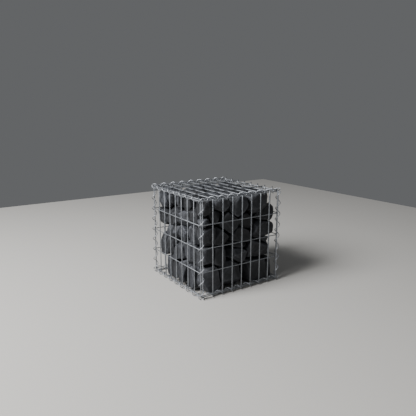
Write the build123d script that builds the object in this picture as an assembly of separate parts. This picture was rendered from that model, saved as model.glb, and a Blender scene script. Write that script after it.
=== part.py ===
from build123d import *
import math
import os
import random

# A gabion basket: six welded mesh panels, bound along the twelve edges of a cube by spirals
# that are screwed on over the panels' edge wires, and filled with stone laid in courses.
# Millimetres. +Z is up, +X runs along the front, and the origin is under the middle of the
# basket, level with the lowest turns of the bottom spirals, which it rests on.

# Mesh panels
side = 400.0  # between the axes of a panel's outermost wires, both ways
close_spacing = 50.0  # between the close wires
cross_spacing = 100.0  # between the cross wires
close_wire = 5.0  # diameter
cross_wire = 4.0  # diameter
weld_bite = 0.5  # how far the two layers of wire sink into each other at a weld
wire_overhang = 1.2  # how far a wire runs on past the axis of the last one it is welded to
panel_gap = 0.3  # from a panel's wire ends to the wires of the panel beside it
wire_sides = 8  # flats round a wire

# Spirals
spiral_wire = 3.5  # diameter
spiral_clearance = 0.3  # from the strand to the wires that it goes round
strand_facets = 8  # straight runs in one turn
strand_sides = 4
# How far each spiral is slid along its edge from the middle, positive along the direction of
# its outer face crossed with that of its inner face
upright_slid = -7.0
far_upright_slid = -3.0
lid_front_slid = 4.0
lid_side_slid = 6.0
base_front_slid = -0.5
base_side_slid = 1.5

# Stone fill
course_count = 5
bottom_course = 104.0  # height of the bottom course, which has the largest stones
seat_gap = 0.3  # under each course
lid_room = 4.0  # from the top course to the lid's wires
fill_room = 4.0  # from the fullest part of a course to the panels' wires
stones_a_side = 4
stone_shoulder = 18.0  # how far below a stone's top, and above its bottom, its face slants back
bed_depth = 15.0  # how deep the joint between two courses is
joint_depth = 16.0  # how deep the joint between two stones of a course is
joint_width = 26.0  # across its mouth
stone_recess = 9.0  # the most that a stone lies back from its neighbours
tight_corner = 18.0  # how much of a corner the stones leave free, about
loose_corner = 48.0  # the same at the two upright edges where they fall short
corner_spread = 0.28  # how much that varies from course to course, as a share of it
joint_scatter = 0.2  # how far a joint lies from its even place at most, as a share of a stone

# Layers of wire, as heights of their axes outside the planes of the cube
inner_layer = wire_overhang + close_wire / 2 + panel_gap
outer_layer = inner_layer + (close_wire + cross_wire) / 2 - weld_bite
wire_length = side + 2 * wire_overhang
mesh_inside = side / 2 + inner_layer - close_wire / 2

# A spiral fits round a square as wide as the panels' outer layer lies out, with the thicker
# edge wire at a corner. One turn spans one close spacing, so no strand meets a wire's end.
spiral_inside = outer_layer / math.sqrt(2) + close_wire / 2 + spiral_clearance
strand_radius = (spiral_inside + spiral_wire / 2) / math.cos(math.pi / strand_facets)
turns = round(side / close_spacing)
run_rise = side / turns / strand_facets

FRONT, BACK = Vector(0, -1, 0), Vector(0, 1, 0)
LEFT, RIGHT = Vector(-1, 0, 0), Vector(1, 0, 0)
UP, DOWN = Vector(0, 0, 1), Vector(0, 0, -1)


def evenly(spacing):
    """Places across a panel, from edge to edge, at about the given spacing."""
    bays = round(side / spacing)
    return [side * (i / bays - 0.5) for i in range(bays + 1)]


def wire(diameter):
    """A straight wire as long as a panel, along Z, with flats instead of a round surface."""
    profile = RegularPolygon(diameter / 2, wire_sides, major_radius=False, rotation=180 / wire_sides)
    return extrude(profile, amount=wire_length / 2, both=True)


def panel(close_height, cross_height):
    """A welded mesh over the XY plane: close wires along Y, cross wires along X."""
    close = Rot(X=90) * wire(close_wire)
    cross = Rot(Y=90) * wire(cross_wire)
    wires = [Pos(x, 0, close_height) * close for x in evenly(close_spacing)]
    wires += [Pos(0, y, cross_height) * cross for y in evenly(cross_spacing)]
    return Part() + wires


def on_face(shape, outward, across):
    """Puts a shape that lies over the XY plane on the cube's face that looks outward."""
    return Plane(origin=outward * (side / 2), x_dir=across, z_dir=outward).location * shape


def spiral():
    """A right-handed spiral about Z. Its strand crosses the diagonal between +X and +Y at mid-length.

    It has one run more than its whole turns, so that the middle of a run faces every wire it passes.
    """
    runs = turns * strand_facets + 1
    points = []
    for i in range(runs + 1):
        step = i - runs / 2
        angle = math.radians(45 + 360 / strand_facets * step)
        points.append((strand_radius * math.cos(angle), strand_radius * math.sin(angle), run_rise * step))
    path = Polyline(*points)
    section = Plane(origin=path @ 0, z_dir=path % 0) * RegularPolygon(spiral_wire / 2, strand_sides)
    return sweep(section, path=path, transition=Transition.RIGHT)


def on_edge(shape, outer, inner, edge_wire, slid):
    """Puts a spiral on the edge between two faces, given as their outward directions, and slides it along.

    The outer face's panel has its edge wire, of the diameter given, in its outer layer. The inner
    face's panel has its edge wire in its inner layer.
    """
    reach = (spiral_inside - spiral_clearance - edge_wire / 2) / math.sqrt(2)
    middle = outer * (side / 2 + outer_layer - reach) + inner * (side / 2 + reach)
    return Plane(origin=middle, x_dir=outer, z_dir=outer.cross(inner)).location * Pos(Z=slid) * shape


def course_outline(seed):
    """The corners of one course's plan, anticlockwise from the front left.

    They follow its stones' faces, with the joints between them and the corners left free.
    """
    stones = random.Random(seed)
    half = mesh_inside - fill_room
    points = []
    for quarter in range(4):
        near, far = (loose_corner, tight_corner) if quarter % 2 else (tight_corner, loose_corner)
        start = -half + near * stones.uniform(1 - corner_spread, 1 + corner_spread)
        end = half - far * stones.uniform(1 - corner_spread, 1 + corner_spread)
        recesses = [0] + [stones.uniform(0, stone_recess) for _ in range(stones_a_side - 2)] + [0]
        face = [(start, 0)]
        for i in range(1, stones_a_side):
            x = start + (end - start) * (i + stones.uniform(-joint_scatter, joint_scatter)) / stones_a_side
            face.append((x - joint_width / 2, recesses[i - 1]))
            face.append((x, joint_depth))
            face.append((x + joint_width / 2, recesses[i]))
        face.append((end, 0))
        points += [Vector(x, depth - half).rotate(Axis.Z, 90 * quarter) for x, depth in face]
    return points


def course(index):
    """One layer of stones as one solid, with its stones' faces standing out all round."""
    rise = (2 * mesh_inside - lid_room - bottom_course) / (course_count - 1)
    low = -mesh_inside + seat_gap + (bottom_course + (index - 1) * rise if index else 0)
    high = low + (rise if index else bottom_course) - seat_gap
    face = make_face(Polyline(*course_outline(index), close=True))
    bed = scale(face, by=1 - bed_depth / (mesh_inside - fill_room))
    return loft([
        Pos(Z=low) * bed,
        Pos(Z=low + stone_shoulder) * face,
        Pos(Z=high - stone_shoulder) * face,
        Pos(Z=high) * bed,
    ], ruled=True)


def mesh_panels():
    close_outside = panel(outer_layer, inner_layer)
    close_inside = panel(inner_layer, outer_layer)
    return {
        "front_mesh": on_face(close_outside, FRONT, RIGHT),
        "back_mesh": on_face(close_outside, BACK, LEFT),
        "left_mesh": on_face(close_inside, LEFT, FRONT),
        "right_mesh": on_face(close_inside, RIGHT, BACK),
        "lid_mesh": on_face(close_inside, UP, RIGHT),
        "base_mesh": on_face(close_inside, DOWN, RIGHT),
    }


def spirals():
    """The twelve spirals, all alike. Opposite edges have theirs slid along by the same amount."""
    one = spiral()
    return {
        "spiral_front_left": on_edge(one, FRONT, LEFT, close_wire, upright_slid),
        "spiral_back_right": on_edge(one, BACK, RIGHT, close_wire, upright_slid),
        "spiral_front_right": on_edge(one, FRONT, RIGHT, close_wire, far_upright_slid),
        "spiral_back_left": on_edge(one, BACK, LEFT, close_wire, far_upright_slid),
        "spiral_lid_front": on_edge(one, UP, FRONT, cross_wire, lid_front_slid),
        "spiral_lid_back": on_edge(one, UP, BACK, cross_wire, lid_front_slid),
        "spiral_lid_left": on_edge(one, LEFT, UP, cross_wire, lid_side_slid),
        "spiral_lid_right": on_edge(one, RIGHT, UP, cross_wire, lid_side_slid),
        "spiral_base_front": on_edge(one, DOWN, FRONT, cross_wire, base_front_slid),
        "spiral_base_back": on_edge(one, DOWN, BACK, cross_wire, base_front_slid),
        "spiral_base_left": on_edge(one, LEFT, DOWN, cross_wire, base_side_slid),
        "spiral_base_right": on_edge(one, RIGHT, DOWN, cross_wire, base_side_slid),
    }


def stone_fill():
    return {f"stone_course_{i + 1}": course(i) for i in range(course_count)}


def main():
    basket = {**mesh_panels(), **spirals(), **stone_fill()}
    ground = min(shape.bounding_box().min.Z for shape in basket.values())
    os.makedirs("parts", exist_ok=True)
    for name, shape in basket.items():
        export_step(Pos(Z=-ground) * shape, f"parts/{name}.step")


main()
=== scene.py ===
# Looks of the gabion basket: round welded wires, smooth spirals and a fill of separate broken stones.
# Metres, in the frame of the solids: +Z is up, +X runs along the front, and the basket stands on Z = 0.
import sys
import logging
import math
import random
from dataclasses import dataclass
from enum import Enum

import bmesh
import bpy
from mathutils import Matrix, Vector, noise


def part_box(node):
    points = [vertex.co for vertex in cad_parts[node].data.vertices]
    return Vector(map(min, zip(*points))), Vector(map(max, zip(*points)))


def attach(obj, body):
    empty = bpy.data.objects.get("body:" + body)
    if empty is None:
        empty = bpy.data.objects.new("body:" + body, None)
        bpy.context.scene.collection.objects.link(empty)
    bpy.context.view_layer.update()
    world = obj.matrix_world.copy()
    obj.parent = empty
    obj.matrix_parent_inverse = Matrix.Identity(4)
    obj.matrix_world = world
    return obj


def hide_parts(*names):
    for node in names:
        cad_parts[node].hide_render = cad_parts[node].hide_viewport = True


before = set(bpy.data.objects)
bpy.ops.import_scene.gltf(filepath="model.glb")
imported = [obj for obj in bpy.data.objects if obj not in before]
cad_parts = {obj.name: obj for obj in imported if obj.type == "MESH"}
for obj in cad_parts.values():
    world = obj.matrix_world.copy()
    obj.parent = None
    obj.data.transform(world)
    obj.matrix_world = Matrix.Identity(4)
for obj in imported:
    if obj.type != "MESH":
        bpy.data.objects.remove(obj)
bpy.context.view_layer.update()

BODY = "root"  # the basket's one body
MM = 0.001
PANEL_SIDE = 400 * MM  # between the axes of a panel's outermost wires, both ways

# The sockets of a Mix node that are for colours. Those for numbers have the same names.
MIX_A, MIX_B, MIX_RESULT = 6, 7, 2

# What a noise texture mostly spans
NOISE_LOW, NOISE_HIGH = 0.3, 0.7

log = logging.getLogger("gabion")


class Way(Enum):
    """The directions that faces look in and wires run along."""

    RIGHT = (1, 0, 0)
    LEFT = (-1, 0, 0)
    BACK = (0, 1, 0)
    FRONT = (0, -1, 0)
    UP = (0, 0, 1)
    DOWN = (0, 0, -1)

    @property
    def vector(self) -> Vector:
        """The direction as a unit vector."""
        return Vector(self.value)


class Layer(Enum):
    """The layer of a panel that its close wires lie in, as a sign along the panel's outward direction."""

    OUTSIDE = 1
    INSIDE = -1


def linear(colour: str) -> tuple[float, float, float, float]:
    """Turns an sRGB hex colour into linear light.

    Args:
        colour: Six hex digits with a leading hash.

    Returns:
        Red, green, blue and an alpha of one.
    """
    values = [int(colour[i:i + 2], 16) / 255 for i in (1, 3, 5)]
    red, green, blue = (v / 12.92 if v <= 0.04045 else ((v + 0.055) / 1.055) ** 2.4 for v in values)
    return red, green, blue, 1.0


def add_node(
    tree: bpy.types.NodeTree,
    kind: str,
    inputs: dict[str | int, object] | None = None,
    **settings: object,
) -> bpy.types.Node:
    """Adds one node to a material, with its settings and what feeds it.

    Args:
        tree: The material's node tree.
        kind: The node's type, without the leading ShaderNode.
        inputs: By input name or number, another node's output or a plain value.
        **settings: Properties of the node itself.

    Returns:
        The new node.
    """
    node = tree.nodes.new("ShaderNode" + kind)
    for name, value in settings.items():
        setattr(node, name, value)
    for key, value in (inputs or {}).items():
        if isinstance(value, bpy.types.NodeSocket):
            tree.links.new(value, node.inputs[key])
        else:
            node.inputs[key].default_value = value
    return node


def new_material(name: str) -> tuple[bpy.types.Material, bpy.types.NodeTree, bpy.types.Node]:
    """Starts a material.

    Args:
        name: What the real material is and how its surface was made.

    Returns:
        The material, its node tree and its Principled shader, which feeds the output.
    """
    material = bpy.data.materials.new(name)
    material.use_nodes = True
    tree = material.node_tree
    return material, tree, tree.nodes["Principled BSDF"]


@dataclass(frozen=True)
class DullZinc:
    """Drawn steel wire with a hot-dip zinc coat that has gone dull outdoors.

    The coat gives a grey metal with a soft, broad highlight, clouds of paler bloom, and fine marks
    all over.
    """

    name: str
    bright: str
    dull: str
    roughness: tuple[float, float]
    metallic: float = 0.85
    spread: tuple[float, float] = (0.75, 1.25)  # of clouds and marks together, from dull to bright
    cloud_size: float = 14 * MM
    mark_size: float = 1.6 * MM  # real marks are about 0.3 mm, too fine to show
    mark_height: float = 0.06 * MM

    def material(self) -> bpy.types.Material:
        """Makes the material.

        Returns:
            The material, patterned in object coordinates.
        """
        material, tree, shader = new_material(self.name)
        place = add_node(tree, "TexCoord").outputs["Object"]
        clouds = add_node(tree, "TexNoise", {"Vector": place, "Scale": 1 / self.cloud_size, "Detail": 4.0})
        marks = add_node(tree, "TexNoise", {"Vector": place, "Scale": 1 / self.mark_size, "Detail": 2.0})
        both = add_node(tree, "Math", {0: clouds.outputs["Fac"], 1: marks.outputs["Fac"]}, operation="ADD")
        spread = add_node(tree, "MapRange", {
            "Value": both.outputs[0],
            "From Min": self.spread[0],
            "From Max": self.spread[1],
        })
        colour = add_node(tree, "Mix", {
            "Factor": spread.outputs[0],
            MIX_A: linear(self.dull),
            MIX_B: linear(self.bright),
        }, data_type="RGBA")
        rough = add_node(tree, "MapRange", {
            "Value": clouds.outputs["Fac"],
            "From Min": NOISE_LOW,
            "From Max": NOISE_HIGH,
            "To Min": self.roughness[0],
            "To Max": self.roughness[1],
        })
        bump = add_node(tree, "Bump", {
            "Height": marks.outputs["Fac"],
            "Distance": self.mark_height,
            "Strength": 1.0,
        })
        tree.links.new(colour.outputs[MIX_RESULT], shader.inputs["Base Color"])
        tree.links.new(rough.outputs[0], shader.inputs["Roughness"])
        tree.links.new(bump.outputs[0], shader.inputs["Normal"])
        shader.inputs["Metallic"].default_value = self.metallic
        return material


@dataclass(frozen=True)
class BrokenBasalt:
    """Dark basalt, broken in the quarry and a little tumbled.

    It gives a near-black grey with a matt, fine-grained face, pale dust worked into its edges, and
    stones that differ a little from each other in tone.
    """

    name: str = "broken_basalt"
    dark: str = "#141619"
    pale: str = "#313338"
    dust: str = "#505258"
    roughness: tuple[float, float] = (0.62, 0.86)
    spread: tuple[float, float] = (0.7, 1.3)  # of patches and grain together, from dark to pale
    patch_size: float = 38 * MM
    grain_size: float = 2.4 * MM  # real grain is under 1 mm, too fine to show
    grain_height: float = 0.5 * MM
    fracture_size: float = 16 * MM
    fracture_height: float = 2.2 * MM

    def material(self) -> bpy.types.Material:
        """Makes the material, which reads the stones' attributes tone and wear.

        Returns:
            The material, patterned in object coordinates.
        """
        material, tree, shader = new_material(self.name)
        place = add_node(tree, "TexCoord").outputs["Object"]
        tone = add_node(tree, "Attribute", attribute_name="tone").outputs["Fac"]
        wear = add_node(tree, "Attribute", attribute_name="wear").outputs["Fac"]
        patches = add_node(tree, "TexNoise", {"Vector": place, "Scale": 1 / self.patch_size, "Detail": 6.0})
        grain = add_node(tree, "TexNoise", {"Vector": place, "Scale": 1 / self.grain_size, "Detail": 3.0})
        fracture = add_node(tree, "TexNoise", {
            "Vector": place,
            "Scale": 1 / self.fracture_size,
            "Detail": 5.0,
            "Roughness": 0.6,
        })
        both = add_node(tree, "Math", {0: patches.outputs["Fac"], 1: grain.outputs["Fac"]}, operation="ADD")
        spread = add_node(tree, "MapRange", {
            "Value": both.outputs[0],
            "From Min": self.spread[0],
            "From Max": self.spread[1],
        })
        colour = add_node(tree, "Mix", {
            "Factor": spread.outputs[0],
            MIX_A: linear(self.dark),
            MIX_B: linear(self.pale),
        }, data_type="RGBA")
        dusted = add_node(tree, "Mix", {
            "Factor": wear,
            MIX_A: colour.outputs[MIX_RESULT],
            MIX_B: linear(self.dust),
        }, data_type="RGBA")
        toned = add_node(tree, "HueSaturation", {"Color": dusted.outputs[MIX_RESULT], "Value": tone})
        rough = add_node(tree, "MapRange", {
            "Value": grain.outputs["Fac"],
            "From Min": NOISE_LOW,
            "From Max": NOISE_HIGH,
            "To Min": self.roughness[0],
            "To Max": self.roughness[1],
        })
        coarse = add_node(tree, "Bump", {
            "Height": fracture.outputs["Fac"],
            "Distance": self.fracture_height,
            "Strength": 1.0,
        })
        fine = add_node(tree, "Bump", {
            "Height": grain.outputs["Fac"],
            "Distance": self.grain_height,
            "Strength": 1.0,
            "Normal": coarse.outputs[0],
        })
        tree.links.new(toned.outputs[0], shader.inputs["Base Color"])
        tree.links.new(rough.outputs[0], shader.inputs["Roughness"])
        tree.links.new(fine.outputs[0], shader.inputs["Normal"])
        return material


@dataclass(frozen=True)
class StudioFloor:
    """Pale matt painted board, smooth, with hardly any variation."""

    name: str = "painted_studio_board"
    colour: str = "#B8B6B2"
    roughness: float = 0.85

    def material(self) -> bpy.types.Material:
        """Makes the material.

        Returns:
            The material.
        """
        material, _tree, shader = new_material(self.name)
        shader.inputs["Base Color"].default_value = linear(self.colour)
        shader.inputs["Roughness"].default_value = self.roughness
        return material


PANEL_ZINC = DullZinc("hot_dip_galvanised_panel_wire", "#A4A7AC", "#7B7F84", (0.46, 0.66))
SPIRAL_ZINC = DullZinc("hot_dip_galvanised_spiral_wire", "#AAADB2", "#83868C", (0.40, 0.58))


def piece_from(
    work: bmesh.types.BMesh,
    name: str,
    material: bpy.types.Material,
) -> bpy.types.Object:
    """Turns a finished bmesh into a piece of the basket.

    Args:
        work: The bmesh, which is freed.
        name: The piece's name.
        material: Its finish.

    Returns:
        The piece, which rides on the basket's one body.
    """
    mesh = bpy.data.meshes.new(name)
    work.to_mesh(mesh)
    work.free()
    mesh.materials.append(material)
    piece = bpy.data.objects.new(name, mesh)
    bpy.context.scene.collection.objects.link(piece)
    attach(piece, BODY)
    return piece


def shade(mesh: bpy.types.Mesh, sharp_above: float) -> None:
    """Smooths a mesh's shading, except over edges that turn by more than an angle.

    Args:
        mesh: The mesh.
        sharp_above: The angle in radians.
    """
    mesh.shade_smooth()
    mesh.set_sharp_from_angle(angle=sharp_above)


@dataclass
class MeshPanel:
    """One welded mesh panel: close and cross wires in two layers, with a weld at every crossing."""

    node: str
    outward: Way
    close_along: Way
    close_layer: Layer
    side: float = PANEL_SIDE
    close_spacing: float = 50 * MM
    cross_spacing: float = 100 * MM
    close_wire: float = 5 * MM
    cross_wire: float = 4 * MM
    overhang: float = 1.2 * MM  # of a wire past the axis of the last one that it is welded to
    cut_chamfer: float = 0.5 * MM
    cut_steps: int = 2
    wire_sides: int = 16
    weld_size: tuple[float, float, float] = (6.0 * MM, 5.0 * MM, 3.4 * MM)  # along both wires and through
    weld_sides: int = 10
    weld_rings: int = 6
    sharp_above: float = math.radians(40)

    def build(self, material: bpy.types.Material) -> bpy.types.Object:
        """Makes the panel where its solid is.

        Args:
            material: The wire's finish.

        Returns:
            The piece that stands for the solid.
        """
        low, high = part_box(self.node)
        middle = (low + high) / 2
        out = self.outward.vector
        along = self.close_along.vector
        across = out.cross(along)
        half_thick = abs((high - low).dot(out)) / 2
        lies = self.close_layer.value
        close_at = middle + out * lies * (half_thick - self.close_wire / 2)
        cross_at = middle - out * lies * (half_thick - self.cross_wire / 2)
        # Halfway between the two wires' surfaces that face each other
        weld_at = (close_at + cross_at) / 2 + out * lies * (self.cross_wire - self.close_wire) / 4
        work = bmesh.new()
        for place in self.places(self.close_spacing):
            self.add_wire(work, close_at + across * place, along, self.close_wire)
        for place in self.places(self.cross_spacing):
            self.add_wire(work, cross_at + along * place, across, self.cross_wire)
        turn = Matrix((along, across, out)).transposed()
        for close in self.places(self.close_spacing):
            for cross in self.places(self.cross_spacing):
                self.add_weld(work, weld_at + across * close + along * cross, turn)
        piece = piece_from(work, self.node.replace("mesh", "wires"), material)
        shade(piece.data, self.sharp_above)
        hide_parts(self.node)
        return piece

    def places(self, spacing: float) -> list[float]:
        """Wire positions from edge to edge.

        Args:
            spacing: The distance between neighbours.

        Returns:
            The positions, measured from the panel's middle.
        """
        bays = round(self.side / spacing)
        return [self.side * (i / bays - 0.5) for i in range(bays + 1)]

    def add_wire(self, work: bmesh.types.BMesh, middle: Vector, along: Vector, diameter: float) -> None:
        """Adds one straight round wire, with the burr dressed off its sheared ends.

        Args:
            work: The panel's bmesh.
            middle: The wire's middle.
            along: The wire's direction.
            diameter: Its diameter.
        """
        turn = along.to_track_quat("Z", "Y").to_matrix().to_4x4()
        made = bmesh.ops.create_cone(
            work,
            cap_ends=True,
            segments=self.wire_sides,
            radius1=diameter / 2,
            radius2=diameter / 2,
            depth=self.side + 2 * self.overhang,
            matrix=Matrix.Translation(middle) @ turn,
        )
        # Only the two end faces have more than four corners.
        faces = dict.fromkeys(face for vert in made["verts"] for face in vert.link_faces)
        rims = dict.fromkeys(edge for face in faces if len(face.verts) > 4 for edge in face.edges)
        bmesh.ops.bevel(
            work,
            geom=list(rims),
            offset=self.cut_chamfer,
            segments=self.cut_steps,
            profile=0.5,
            affect="EDGES",
            material=-1,
        )

    def add_weld(self, work: bmesh.types.BMesh, middle: Vector, turn: Matrix) -> None:
        """Adds the metal that a resistance weld squeezes out round one crossing.

        Args:
            work: The panel's bmesh.
            middle: Where the two wires touch.
            turn: The close wire's, cross wire's and outward directions as columns.
        """
        bmesh.ops.create_uvsphere(
            work,
            u_segments=self.weld_sides,
            v_segments=self.weld_rings,
            radius=0.5,
            matrix=Matrix.Translation(middle) @ turn.to_4x4() @ Matrix.Diagonal((*self.weld_size, 1)),
        )


@dataclass
class BindingSpiral:
    """A right-handed wire spiral, screwed on over the edge wires of two neighbouring panels.

    The outer face's panel has its edge wire in its outer layer, the inner face's in its inner layer.
    """

    node: str
    outer: Way
    inner: Way
    wire: float = 3.5 * MM
    pitch: float = 50 * MM
    turns: float = 65 / 8  # eight whole ones and an eighth, as the solid has
    steps_a_turn: int = 28
    wire_sides: int = 12
    sharp_above: float = math.radians(50)

    def build(self, material: bpy.types.Material) -> bpy.types.Object:
        """Makes the spiral where its solid is. Its strand crosses the edge's diagonal at mid-length.

        Args:
            material: The wire's finish.

        Returns:
            The piece that stands for the solid.
        """
        low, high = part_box(self.node)
        x_way, y_way = self.outer.vector, self.inner.vector
        z_way = x_way.cross(y_way)
        radius = (abs((high - low).dot(x_way)) - self.wire) / 2
        length = self.pitch * self.turns
        turned = 2 * math.pi * self.turns
        steps = round(self.steps_a_turn * self.turns)
        slope = Vector((0, 2 * math.pi * radius, self.pitch)).to_track_quat("Z", "X").to_matrix().to_4x4()
        wound_back = Matrix.Rotation(math.radians(45) - turned / 2, 4, "Z")
        start = wound_back @ Matrix.Translation((radius, 0, -length / 2))
        work = bmesh.new()
        bmesh.ops.create_circle(work, segments=self.wire_sides, radius=self.wire / 2, matrix=start @ slope)
        bmesh.ops.spin(
            work,
            geom=work.verts[:] + work.edges[:],
            cent=(0, 0, 0),
            axis=(0, 0, 1),
            dvec=(0, 0, length / steps),
            angle=turned,
            steps=steps,
            use_merge=False,
            use_normal_flip=False,
            use_duplicate=False,
        )
        bmesh.ops.holes_fill(work, edges=[edge for edge in work.edges if edge.is_boundary], sides=0)
        bmesh.ops.recalc_face_normals(work, faces=work.faces[:])
        turn = Matrix((x_way, y_way, z_way)).transposed().to_4x4()
        bmesh.ops.transform(work, matrix=Matrix.Translation((low + high) / 2) @ turn, verts=work.verts[:])
        piece = piece_from(work, self.node.replace("spiral", "binding"), material)
        shade(piece.data, self.sharp_above)
        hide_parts(self.node)
        return piece


# Stones that the photograph shows against the front panel, course by course from the bottom: how far
# the middle of each lies to the right of the panel's middle, its height above the base mesh, its size
# as a radius, and how far its face lies back from the others, in mm.
FRONT_STONES = (
    ((-38, 62, 56, 2), (106, 60, 54, 6)),
    ((-98, 153, 38, 4), (0, 132, 36, 0), (14, 184, 26, 14), (112, 141, 46, 6), (132, 184, 22, 12)),
    ((-89, 230, 36, 12), (21, 223, 42, 12), (132, 235, 42, 0)),
    ((-118, 330, 32, 20), (-45, 286, 40, 6), (42, 274, 38, 16), (140, 300, 36, 4)),
    ((-97, 372, 38, 0), (-1, 352, 48, 0), (104, 352, 48, 0)),
)

# The same against the left panel, measured from its middle towards the back
LEFT_STONES = (
    ((-98, 52, 44, 0), (-12, 66, 34, 2), (44, 50, 32, 2), (98, 28, 30, 0)),
    ((-90, 155, 42, 4), (8, 142, 42, 0), (92, 152, 36, 3), (144, 148, 32, 4)),
    ((-112, 240, 34, 0), (-20, 230, 30, 8), (60, 222, 40, 2)),
    ((-120, 315, 42, 0), (-38, 284, 38, 8), (62, 278, 44, 2), (142, 262, 36, 0)),
    ((-62, 358, 30, 2), (38, 362, 30, 4), (88, 360, 24, 5), (138, 352, 34, 0)),
)

# The stone of each course at the upright edge between them, as X, Y, height and size in mm
CORNER_STONES = (
    (-150, -160, 58, 46),
    (-166, -160, 155, 34),
    (-166, -158, 248, 42),
    (-174, -176, 306, 24),
    (-172, -168, 362, 38),
)

# Places that no stone fills, as X, Y, height and size in mm. Each takes up room as a stone does.
HOLLOWS = (
    (-176, -13, 360, 18),
    (-176, -112, 366, 18),
    (-178, 78, 322, 8),
    (-170, 142, 208, 20),
    (-178, 32, 172, 12),
    (-182, -163, 40, 14),
    (-40, -215, 12, 35),
    (-55, -178, 155, 10),
    (36, -178, 55, 14),
)

# How much of the front right and the back left corner each course leaves free, in mm, less the few
# that its stones lose when they are rounded
LOOSE_CORNERS = ((22, 86), (38, 26), (2, 104), (4, 8), (52, 20))


@dataclass
class Stone:
    """Where one stone goes, its size as a radius, and how far its face lies back."""

    middle: Vector
    size: float
    set_back: float = 0.0


@dataclass
class StoneFill:
    """The stones, each one its own closed mesh, in courses that stand for the solids' courses.

    The basket is divided among the stones by planes, each between two neighbours and the nearer to
    the smaller one. Each stone is then chipped, and rounded as stones are that have tumbled together.
    """

    seed: int = 7
    side: float = PANEL_SIDE
    face_depth: float = 44 * MM  # from a panel to the middles of the stones that lie against it

    # Stones that the photograph doesn't show
    size: float = 38 * MM
    inner_place: float = 50 * MM  # from the basket's middle to the stones round it
    loose_inset: tuple[float, float] = (16 * MM, 44 * MM)  # right and back, of the one at the loose corner
    plan_scatter: float = 15 * MM
    height_scatter: float = 8 * MM
    set_back: float = 12 * MM  # of an inner stone's face, at most
    shoulder: float = 18 * MM  # how far above a solid's bottom its stones' faces begin
    joint_depth: float = 16 * MM  # of the joints between a solid's stones

    # The shape of each stone
    neighbours: int = 35  # that may meet it
    wedged: int = 12  # the nearest of these, which have each broken a wedge off it
    reach: float = 70 * MM  # the most from its middle to a face of the fill, for it to end there
    joint: tuple[float, float] = (2.5 * MM, 7.0 * MM)  # between two stones
    lean: float = math.radians(6)  # of the faces that it shows
    facets: tuple[int, int] = (3, 4)  # on each of those faces
    facet_turn: tuple[float, float] = (math.radians(18), math.radians(44))
    facet_depth: tuple[float, float] = (4 * MM, 15 * MM)
    wedge_turn: float = math.radians(22)
    wedge_depth: tuple[float, float] = (1 * MM, 8 * MM)
    chips: tuple[int, int] = (7, 11)
    chip_keep: tuple[float, float] = (0.82, 0.95)  # share of the stone's radius that a chip leaves

    # Its surface
    cell_size: float = 4.0 * MM  # of its even mesh
    rounding: int = 2  # rounds of smoothing
    swell: tuple[float, float] = (42 * MM, 1.8 * MM)  # width and height of its broad waves
    ripple: tuple[float, float] = (13 * MM, 0.6 * MM)  # and of the small ones
    wave_places: float = 50.0  # how wide a part of the noise the stones' waves come from
    wear_gain: float = 5.0  # how dusty a point is for each cell's width that it stands out
    tone: tuple[float, float] = (0.5, 1.4)  # of the darkest and the palest stone

    def build(self, material: bpy.types.Material) -> list[bpy.types.Object]:
        """Makes every course.

        Args:
            material: The stones' finish.

        Returns:
            One piece a course, from the bottom up.
        """
        rng = random.Random(self.seed)
        nodes = [f"stone_course_{i + 1}" for i in range(len(CORNER_STONES))]
        low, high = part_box(nodes[0])[0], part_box(nodes[-1])[1]
        panel_low, panel_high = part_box("front_mesh")
        floor = (panel_low.z + panel_high.z - self.side) / 2
        courses = [self.stones(rng, index, node, floor) for index, node in enumerate(nodes)]
        places = [stone for course in courses for stone in course]
        places += [Stone(Vector((x * MM, y * MM, z * MM + floor)), size * MM) for x, y, z, size in HOLLOWS]
        pieces = []
        for node, course, loose in zip(nodes, courses, LOOSE_CORNERS):
            corners = self.corner_planes(node, loose)
            streams = [self.stream(stone) for stone in course]
            cells = [
                self.cell(stream, stone, places, low, high, corners)
                for stream, stone in zip(streams, course)
            ]
            work = self.gathered(self.rounded(cells), streams)
            piece = piece_from(work, node.replace("stone_", "stones_"), material)
            piece.data.shade_smooth()
            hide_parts(node)
            pieces.append(piece)
        return pieces

    def stones(self, rng: random.Random, index: int, node: str, floor: float) -> list[Stone]:
        """Where a course's stones lie.

        The front and left sides follow the photograph. The back and right sides follow the solid.

        Args:
            rng: The source of scatter.
            index: The course, counted from the bottom.
            node: The course's solid.
            floor: The height of the base mesh.

        Returns:
            The course's stones.
        """
        face = self.side / 2 - self.face_depth
        low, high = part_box(node)
        level = (low.z + high.z) / 2
        x, y, z, size = CORNER_STONES[index]
        stones = [Stone(Vector((x * MM, y * MM, z * MM + floor)), size * MM)]
        for x, z, size, back in FRONT_STONES[index]:
            stones.append(Stone(Vector((x * MM, -face, z * MM + floor)), size * MM, back * MM))
        for y, z, size, back in LEFT_STONES[index]:
            stones.append(Stone(Vector((-face, y * MM, z * MM + floor)), size * MM, back * MM))
        across, deep = self.loose_inset
        stones.append(Stone(Vector((face + across, -face + deep, level)), self.size))
        stones.append(Stone(Vector((face, face, level)), self.size))
        for out, aside in ((Way.RIGHT.vector, Way.BACK.vector), (Way.BACK.vector, Way.RIGHT.vector)):
            for place, back in self.side_stones(node, out, aside):
                height = Way.UP.vector * (level + self.rise(rng))
                depth = face + self.scatter(rng) / 2  # half as much, which keeps the side about even
                stones.append(Stone(out * depth + aside * place + height, self.size, back))
        for x in (-self.inner_place, self.inner_place):
            for y in (-self.inner_place, self.inner_place):
                middle = Vector((x + self.scatter(rng), y + self.scatter(rng), level + self.rise(rng)))
                stones.append(Stone(middle, self.size, rng.uniform(0, self.set_back)))
        return stones

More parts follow.
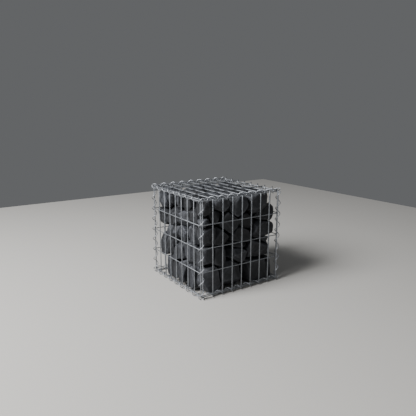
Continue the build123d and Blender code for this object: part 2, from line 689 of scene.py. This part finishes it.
    def side_stones(self, node: str, out: Vector, aside: Vector) -> list[tuple[float, float]]:
        """The stones that a course's solid shows on one side, but for those at its corners.

        Each lies between two joints, and a joint is where the solid's outline is joint_depth deep.

        Args:
            node: The course's solid.
            out: The direction that the side looks in.
            aside: The direction along it.

        Returns:
            For each stone, how far along the side its middle is and how far its face lies back.
        """
        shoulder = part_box(node)[0].z + self.shoulder
        points = [vert.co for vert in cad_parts[node].data.vertices if abs(vert.co.z - shoulder) < MM]
        furthest = max(point.dot(out) for point in points)
        found = sorted(
            point.dot(aside)
            for point in points
            if abs(furthest - point.dot(out) - self.joint_depth) < MM
            and abs(point.dot(aside)) < self.side / 2 - self.face_depth
        )
        # The solid's mesh has several points at the same place.
        joints = [place for last, place in zip([-math.inf, *found], found) if place - last > MM]
        stones = []
        for near, far in zip(joints, joints[1:]):
            back = furthest - max(point.dot(out) for point in points if near < point.dot(aside) < far)
            stones.append(((near + far) / 2, back))
        return stones

    def stream(self, stone: Stone) -> random.Random:
        """A stone's own random numbers, so that moving one stone leaves the others as they are."""
        return random.Random(f"{self.seed} {stone.middle.x:.4f} {stone.middle.y:.4f} {stone.middle.z:.4f}")

    def scatter(self, rng: random.Random) -> float:
        """A random step in plan."""
        return rng.uniform(-self.plan_scatter, self.plan_scatter)

    def rise(self, rng: random.Random) -> float:
        """A random step in height."""
        return rng.uniform(-self.height_scatter, self.height_scatter)

    def corner_planes(self, node: str, loose: tuple[float, float]) -> list[tuple[Vector, Vector]]:
        """The planes that leave a course's corners free.

        The tight corners are those of its solid. The loose ones follow the photograph.

        Args:
            node: The course's solid.
            loose: How much of the front right and the back left corner is free, in mm.

        Returns:
            A point and an outward direction for each of the four corners.
        """
        planes = []
        for x, y in ((-1, -1), (1, 1)):
            out = Vector((x, y, 0)).normalized()
            furthest = max(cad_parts[node].data.vertices, key=lambda vert: vert.co.dot(out))
            planes.append((furthest.co.copy(), out))
        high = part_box(node)[1]
        for (x, y), free in zip(((1, -1), (-1, 1)), loose):
            out = Vector((x, y, 0)).normalized()
            planes.append((Vector((x * (high.x - free * MM), y * high.y, high.z)), out))
        return planes

    def cell(
        self,
        rng: random.Random,
        stone: Stone,
        places: list[Stone],
        low: Vector,
        high: Vector,
        corners: list[tuple[Vector, Vector]],
    ) -> bmesh.types.BMesh:
        """Cuts one stone out of the fill.

        Args:
            rng: The stone's random numbers.
            stone: Where the stone lies.
            places: All the stones and hollows.
            low: The fill's lowest corner.
            high: The fill's highest corner.
            corners: The planes that cut off the fill's upright corners.

        Returns:
            The stone with flat faces.
        """
        middle = stone.middle
        grounded = middle.z - low.z < self.reach
        work = bmesh.new()
        bmesh.ops.create_cube(
            work,
            size=1,
            matrix=Matrix.Translation((low + high) / 2) @ Matrix.Diagonal((*(high - low), 1)),
        )
        # The nearest place is the stone's own.
        near = sorted(places, key=lambda other: (other.middle - middle).length)[1:self.neighbours + 1]
        for other in near:
            apart = other.middle - middle
            room = (apart.length_squared + stone.size ** 2 - other.size ** 2) / apart.length / 2
            self.cut(work, middle + apart.normalized() * (room - rng.uniform(*self.joint) / 2), apart)
        for point, out in corners:
            self.cut(work, point, self.leaning(rng, out, self.lean))
        for axis in range(3):
            for end, sign in ((low, -1), (high, 1)):
                if abs(end[axis] - middle[axis]) < self.reach:
                    out = Vector((0, 0, 0))
                    out[axis] = sign
                    point = middle.copy()
                    point[axis] = end[axis] - sign * (0 if out.z else stone.set_back)
                    self.cut(work, point, self.leaning(rng, out, self.lean))
                    self.break_face(work, rng, out, grounded)
        for other in near[:self.wedged]:
            way = self.leaning(rng, (other.middle - middle).normalized(), self.wedge_turn)
            self.trim(work, way, rng.uniform(*self.wedge_depth))
        for _ in range(rng.randint(*self.chips)):
            self.chip(work, rng, grounded)
        return work

    def break_face(self, work: bmesh.types.BMesh, rng: random.Random, out: Vector, grounded: bool) -> None:
        """Breaks the face that a stone shows into a few flat facets.

        Args:
            work: The stone.
            rng: The stone's random numbers.
            out: The direction that the face looks in.
            grounded: Whether the stone lies flat on the base mesh, and keeps its lower edges.
        """
        for _ in range(rng.randint(*self.facets)):
            aside = out.cross(Vector([rng.gauss(0, 1) for _ in range(3)])).normalized()
            turn = rng.uniform(*self.facet_turn)
            depth = rng.uniform(*self.facet_depth)
            if grounded:
                aside.z = abs(aside.z)
            if out.z >= 0:  # an underside stays flat
                self.trim(work, out * math.cos(turn) + aside * math.sin(turn), depth)

    def chip(self, work: bmesh.types.BMesh, rng: random.Random, grounded: bool) -> None:
        """Knocks one chip off a stone.

        Args:
            work: The stone.
            rng: The stone's random numbers.
            grounded: Whether the stone lies flat on the base mesh, and keeps its lower edges.
        """
        way = Vector([rng.gauss(0, 1) for _ in range(3)]).normalized()
        if grounded:
            way.z = abs(way.z)
        heart = sum((vert.co for vert in work.verts), Vector()) / len(work.verts)
        radius = max((vert.co - heart).dot(way) for vert in work.verts)
        self.cut(work, heart + way * radius * rng.uniform(*self.chip_keep), way)

    def trim(self, work: bmesh.types.BMesh, way: Vector, depth: float) -> None:
        """Takes a slice off one side of a stone.

        Args:
            work: The stone.
            way: The side, as a direction.
            depth: How deep the slice is, from the point that stands out most.
        """
        furthest = max(work.verts, key=lambda vert: vert.co.dot(way)).co.copy()
        self.cut(work, furthest - way * depth, way)

    def leaning(self, rng: random.Random, out: Vector, most: float) -> Vector:
        """A direction turned a little from another.

        Args:
            rng: The stone's random numbers.
            out: The direction to start from.
            most: About the most that it turns, in radians.

        Returns:
            A unit vector.
        """
        slack = math.tan(most)
        return (out + Vector([rng.uniform(-slack, slack) for _ in range(3)])).normalized()

    def cut(self, work: bmesh.types.BMesh, point: Vector, out: Vector) -> None:
        """Takes off what lies beyond a plane and closes the cut.

        Args:
            work: The stone.
            point: A point on the plane.
            out: The direction that is taken off.
        """
        bmesh.ops.bisect_plane(
            work,
            geom=work.verts[:] + work.edges[:] + work.faces[:],
            dist=1e-6,
            plane_co=point,
            plane_no=out,
            clear_outer=True,
        )
        open_edges = [edge for edge in work.edges if edge.is_boundary]
        if open_edges:
            bmesh.ops.holes_fill(work, edges=open_edges, sides=0)

    def rounded(self, cells: list[bmesh.types.BMesh]) -> list[bpy.types.Mesh]:
        """Remeshes stones evenly and softens their edges.

        Args:
            cells: The stones with flat faces, which are freed.

        Returns:
            The rounded meshes.
        """
        rough = []
        for work in cells:
            bmesh.ops.recalc_face_normals(work, faces=work.faces[:])
            mesh = bpy.data.meshes.new("stone")
            work.to_mesh(mesh)
            work.free()
            stone = bpy.data.objects.new("stone", mesh)
            bpy.context.scene.collection.objects.link(stone)
            remesh = stone.modifiers.new("even", "REMESH")
            remesh.mode = "VOXEL"
            remesh.voxel_size = self.cell_size
            soften = stone.modifiers.new("soften", "SMOOTH")
            soften.factor = 0.5
            soften.iterations = self.rounding
            rough.append(stone)
        depsgraph = bpy.context.evaluated_depsgraph_get()
        made = [bpy.data.meshes.new_from_object(stone.evaluated_get(depsgraph)) for stone in rough]
        for stone in rough:
            mesh = stone.data
            bpy.data.objects.remove(stone)
            bpy.data.meshes.remove(mesh)
        return made

    def gathered(self, meshes: list[bpy.types.Mesh], streams: list[random.Random]) -> bmesh.types.BMesh:
        """Weathers a course's stones and brings them together, with their attributes tone and wear.

        Args:
            meshes: The rounded stones, which are removed.
            streams: Each stone's random numbers.

        Returns:
            The whole course.
        """
        work = bmesh.new()
        tone = work.verts.layers.float.new("tone")
        wear = work.verts.layers.float.new("wear")
        for mesh, stream in zip(meshes, streams):
            self.weather(mesh, stream)
            first = len(work.verts)
            work.from_mesh(mesh)
            bpy.data.meshes.remove(mesh)
            work.verts.ensure_lookup_table()
            grey = stream.uniform(*self.tone)
            for vert in work.verts[first:]:
                vert[tone] = grey
                vert[wear] = self.worn(vert)
        return work

    def weather(self, mesh: bpy.types.Mesh, rng: random.Random) -> None:
        """Makes a stone's faces uneven, as broken rock is.

        Args:
            mesh: The stone.
            rng: The stone's random numbers.
        """
        offset = Vector([rng.uniform(0, self.wave_places) for _ in range(3)])
        points = [(vert.co.copy(), vert.normal.copy()) for vert in mesh.vertices]
        moved = []
        for point, normal in points:
            step = 0.0
            for width, height in (self.swell, self.ripple):
                step += noise.noise(point / width + offset) * height
            moved.extend(point + normal * step)
        mesh.vertices.foreach_set("co", moved)
        mesh.update()

    def worn(self, vert: bmesh.types.BMVert) -> float:
        """How much pale dust a point of a stone has, by how far it stands out from its surroundings.

        Args:
            vert: A vertex of the finished stone.

        Returns:
            From 0 on a flat face or in a hollow to 1 on a sharp corner.
        """
        around = sum((edge.other_vert(vert).co for edge in vert.link_edges), Vector()) / len(vert.link_edges)
        stands_out = (vert.co - around).dot(vert.normal) / self.cell_size
        return min(max(stands_out * self.wear_gain, 0.0), 1.0)


@dataclass(frozen=True)
class Lamp:
    """One large soft lamp: where it hangs, the width of its round panel, and its power in watts."""

    name: str
    place: tuple[float, float, float]
    width: float
    power: float


@dataclass
class Studio:
    """Pale floor, soft light from the upper left, and the camera at the photograph's angle.

    The camera was fitted to points on the wires in the photograph.
    """

    floor_size: float = 4.4
    sky: str = "#E4E7EA"
    sky_strength: float = 0.165
    lamps: tuple[Lamp, ...] = (
        Lamp("key_light", (-3.0, -0.05, 2.8), 2.2, 330.0),  # strikes the left side full, the front aslant
        Lamp("fill_light", (0.4, -3.2, 3.2), 2.6, 6.0),
    )
    lamp_aim: tuple[float, float, float] = (0.0, 0.0, 0.2)  # about the basket's middle
    picture_width: float = 416.0  # in pixels
    focal_length: float = 437.6  # in the same pixels
    sensor: float = 36.0  # its width in mm
    azimuth: float = math.radians(-33.72)
    elevation: float = math.radians(12.38)
    roll: float = math.radians(-0.07)
    camera_place: tuple[float, float, float] = (-1.117, -1.6214, 0.7595)

    def build(self) -> None:
        """Makes the floor, the lights and the camera."""
        self.add_floor()
        self.add_sky()
        for lamp in self.lamps:
            self.add_lamp(lamp)
        self.add_camera()

    def add_floor(self) -> None:
        """Lays the floor under the basket."""
        work = bmesh.new()
        bmesh.ops.create_grid(work, x_segments=1, y_segments=1, size=self.floor_size / 2)
        mesh = bpy.data.meshes.new("studio_floor")
        work.to_mesh(mesh)
        work.free()
        mesh.materials.append(StudioFloor().material())
        floor = bpy.data.objects.new("studio_floor", mesh)
        bpy.context.scene.collection.objects.link(floor)

    def add_sky(self) -> None:
        """Fills the room with even pale light."""
        world = bpy.data.worlds.new("pale_room")
        world.use_nodes = True
        background = world.node_tree.nodes["Background"]
        background.inputs["Color"].default_value = linear(self.sky)
        background.inputs["Strength"].default_value = self.sky_strength
        bpy.context.scene.world = world

    def add_lamp(self, lamp: Lamp) -> None:
        """Hangs one lamp and points it at the basket.

        Args:
            lamp: The lamp.
        """
        light = bpy.data.lights.new(lamp.name, "AREA")
        light.shape = "DISK"
        light.size = lamp.width
        light.energy = lamp.power
        hung = bpy.data.objects.new(lamp.name, light)
        hung.location = lamp.place
        towards = Vector(self.lamp_aim) - Vector(lamp.place)
        hung.rotation_euler = towards.to_track_quat("-Z", "Y").to_euler()
        bpy.context.scene.collection.objects.link(hung)

    def add_camera(self) -> None:
        """Sets up the camera where the photograph was taken from."""
        back = Vector((
            math.sin(self.azimuth) * math.cos(self.elevation),
            -math.cos(self.azimuth) * math.cos(self.elevation),
            math.sin(self.elevation),
        ))
        right = Vector((math.cos(self.azimuth), math.sin(self.azimuth), 0))
        turn = Matrix((right, back.cross(right), back)).transposed() @ Matrix.Rotation(self.roll, 3, "Z")
        data = bpy.data.cameras.new("photo_camera")
        data.sensor_width = self.sensor
        data.lens = self.focal_length / self.picture_width * self.sensor
        camera = bpy.data.objects.new("photo_camera", data)
        camera.matrix_world = Matrix.Translation(self.camera_place) @ turn.to_4x4()
        bpy.context.scene.collection.objects.link(camera)
        bpy.context.scene.camera = camera


PANELS = (
    MeshPanel("front_mesh", Way.FRONT, Way.UP, Layer.OUTSIDE),
    MeshPanel("back_mesh", Way.BACK, Way.UP, Layer.OUTSIDE),
    MeshPanel("left_mesh", Way.LEFT, Way.UP, Layer.INSIDE),
    MeshPanel("right_mesh", Way.RIGHT, Way.UP, Layer.INSIDE),
    MeshPanel("lid_mesh", Way.UP, Way.BACK, Layer.INSIDE),
    MeshPanel("base_mesh", Way.DOWN, Way.BACK, Layer.INSIDE),
)

SPIRALS = (
    BindingSpiral("spiral_front_left", Way.FRONT, Way.LEFT),
    BindingSpiral("spiral_back_right", Way.BACK, Way.RIGHT),
    BindingSpiral("spiral_front_right", Way.FRONT, Way.RIGHT),
    BindingSpiral("spiral_back_left", Way.BACK, Way.LEFT),
    BindingSpiral("spiral_lid_front", Way.UP, Way.FRONT),
    BindingSpiral("spiral_lid_back", Way.UP, Way.BACK),
    BindingSpiral("spiral_lid_left", Way.LEFT, Way.UP),
    BindingSpiral("spiral_lid_right", Way.RIGHT, Way.UP),
    BindingSpiral("spiral_base_front", Way.DOWN, Way.FRONT),
    BindingSpiral("spiral_base_back", Way.DOWN, Way.BACK),
    BindingSpiral("spiral_base_left", Way.LEFT, Way.DOWN),
    BindingSpiral("spiral_base_right", Way.RIGHT, Way.DOWN),
)


def main() -> None:
    """Builds the basket's parts in order and logs how many faces each has, then the studio."""
    logging.basicConfig(level=logging.INFO, format="%(message)s", stream=sys.stdout)
    panel_zinc = PANEL_ZINC.material()
    pieces = [panel.build(panel_zinc) for panel in PANELS]
    spiral_zinc = SPIRAL_ZINC.material()
    pieces += [spiral.build(spiral_zinc) for spiral in SPIRALS]
    pieces += StoneFill().build(BrokenBasalt().material())
    for piece in pieces:
        log.info("%s: %d faces", piece.name, len(piece.data.polygons))
    Studio().build()


if __name__ == "__main__":
    main()
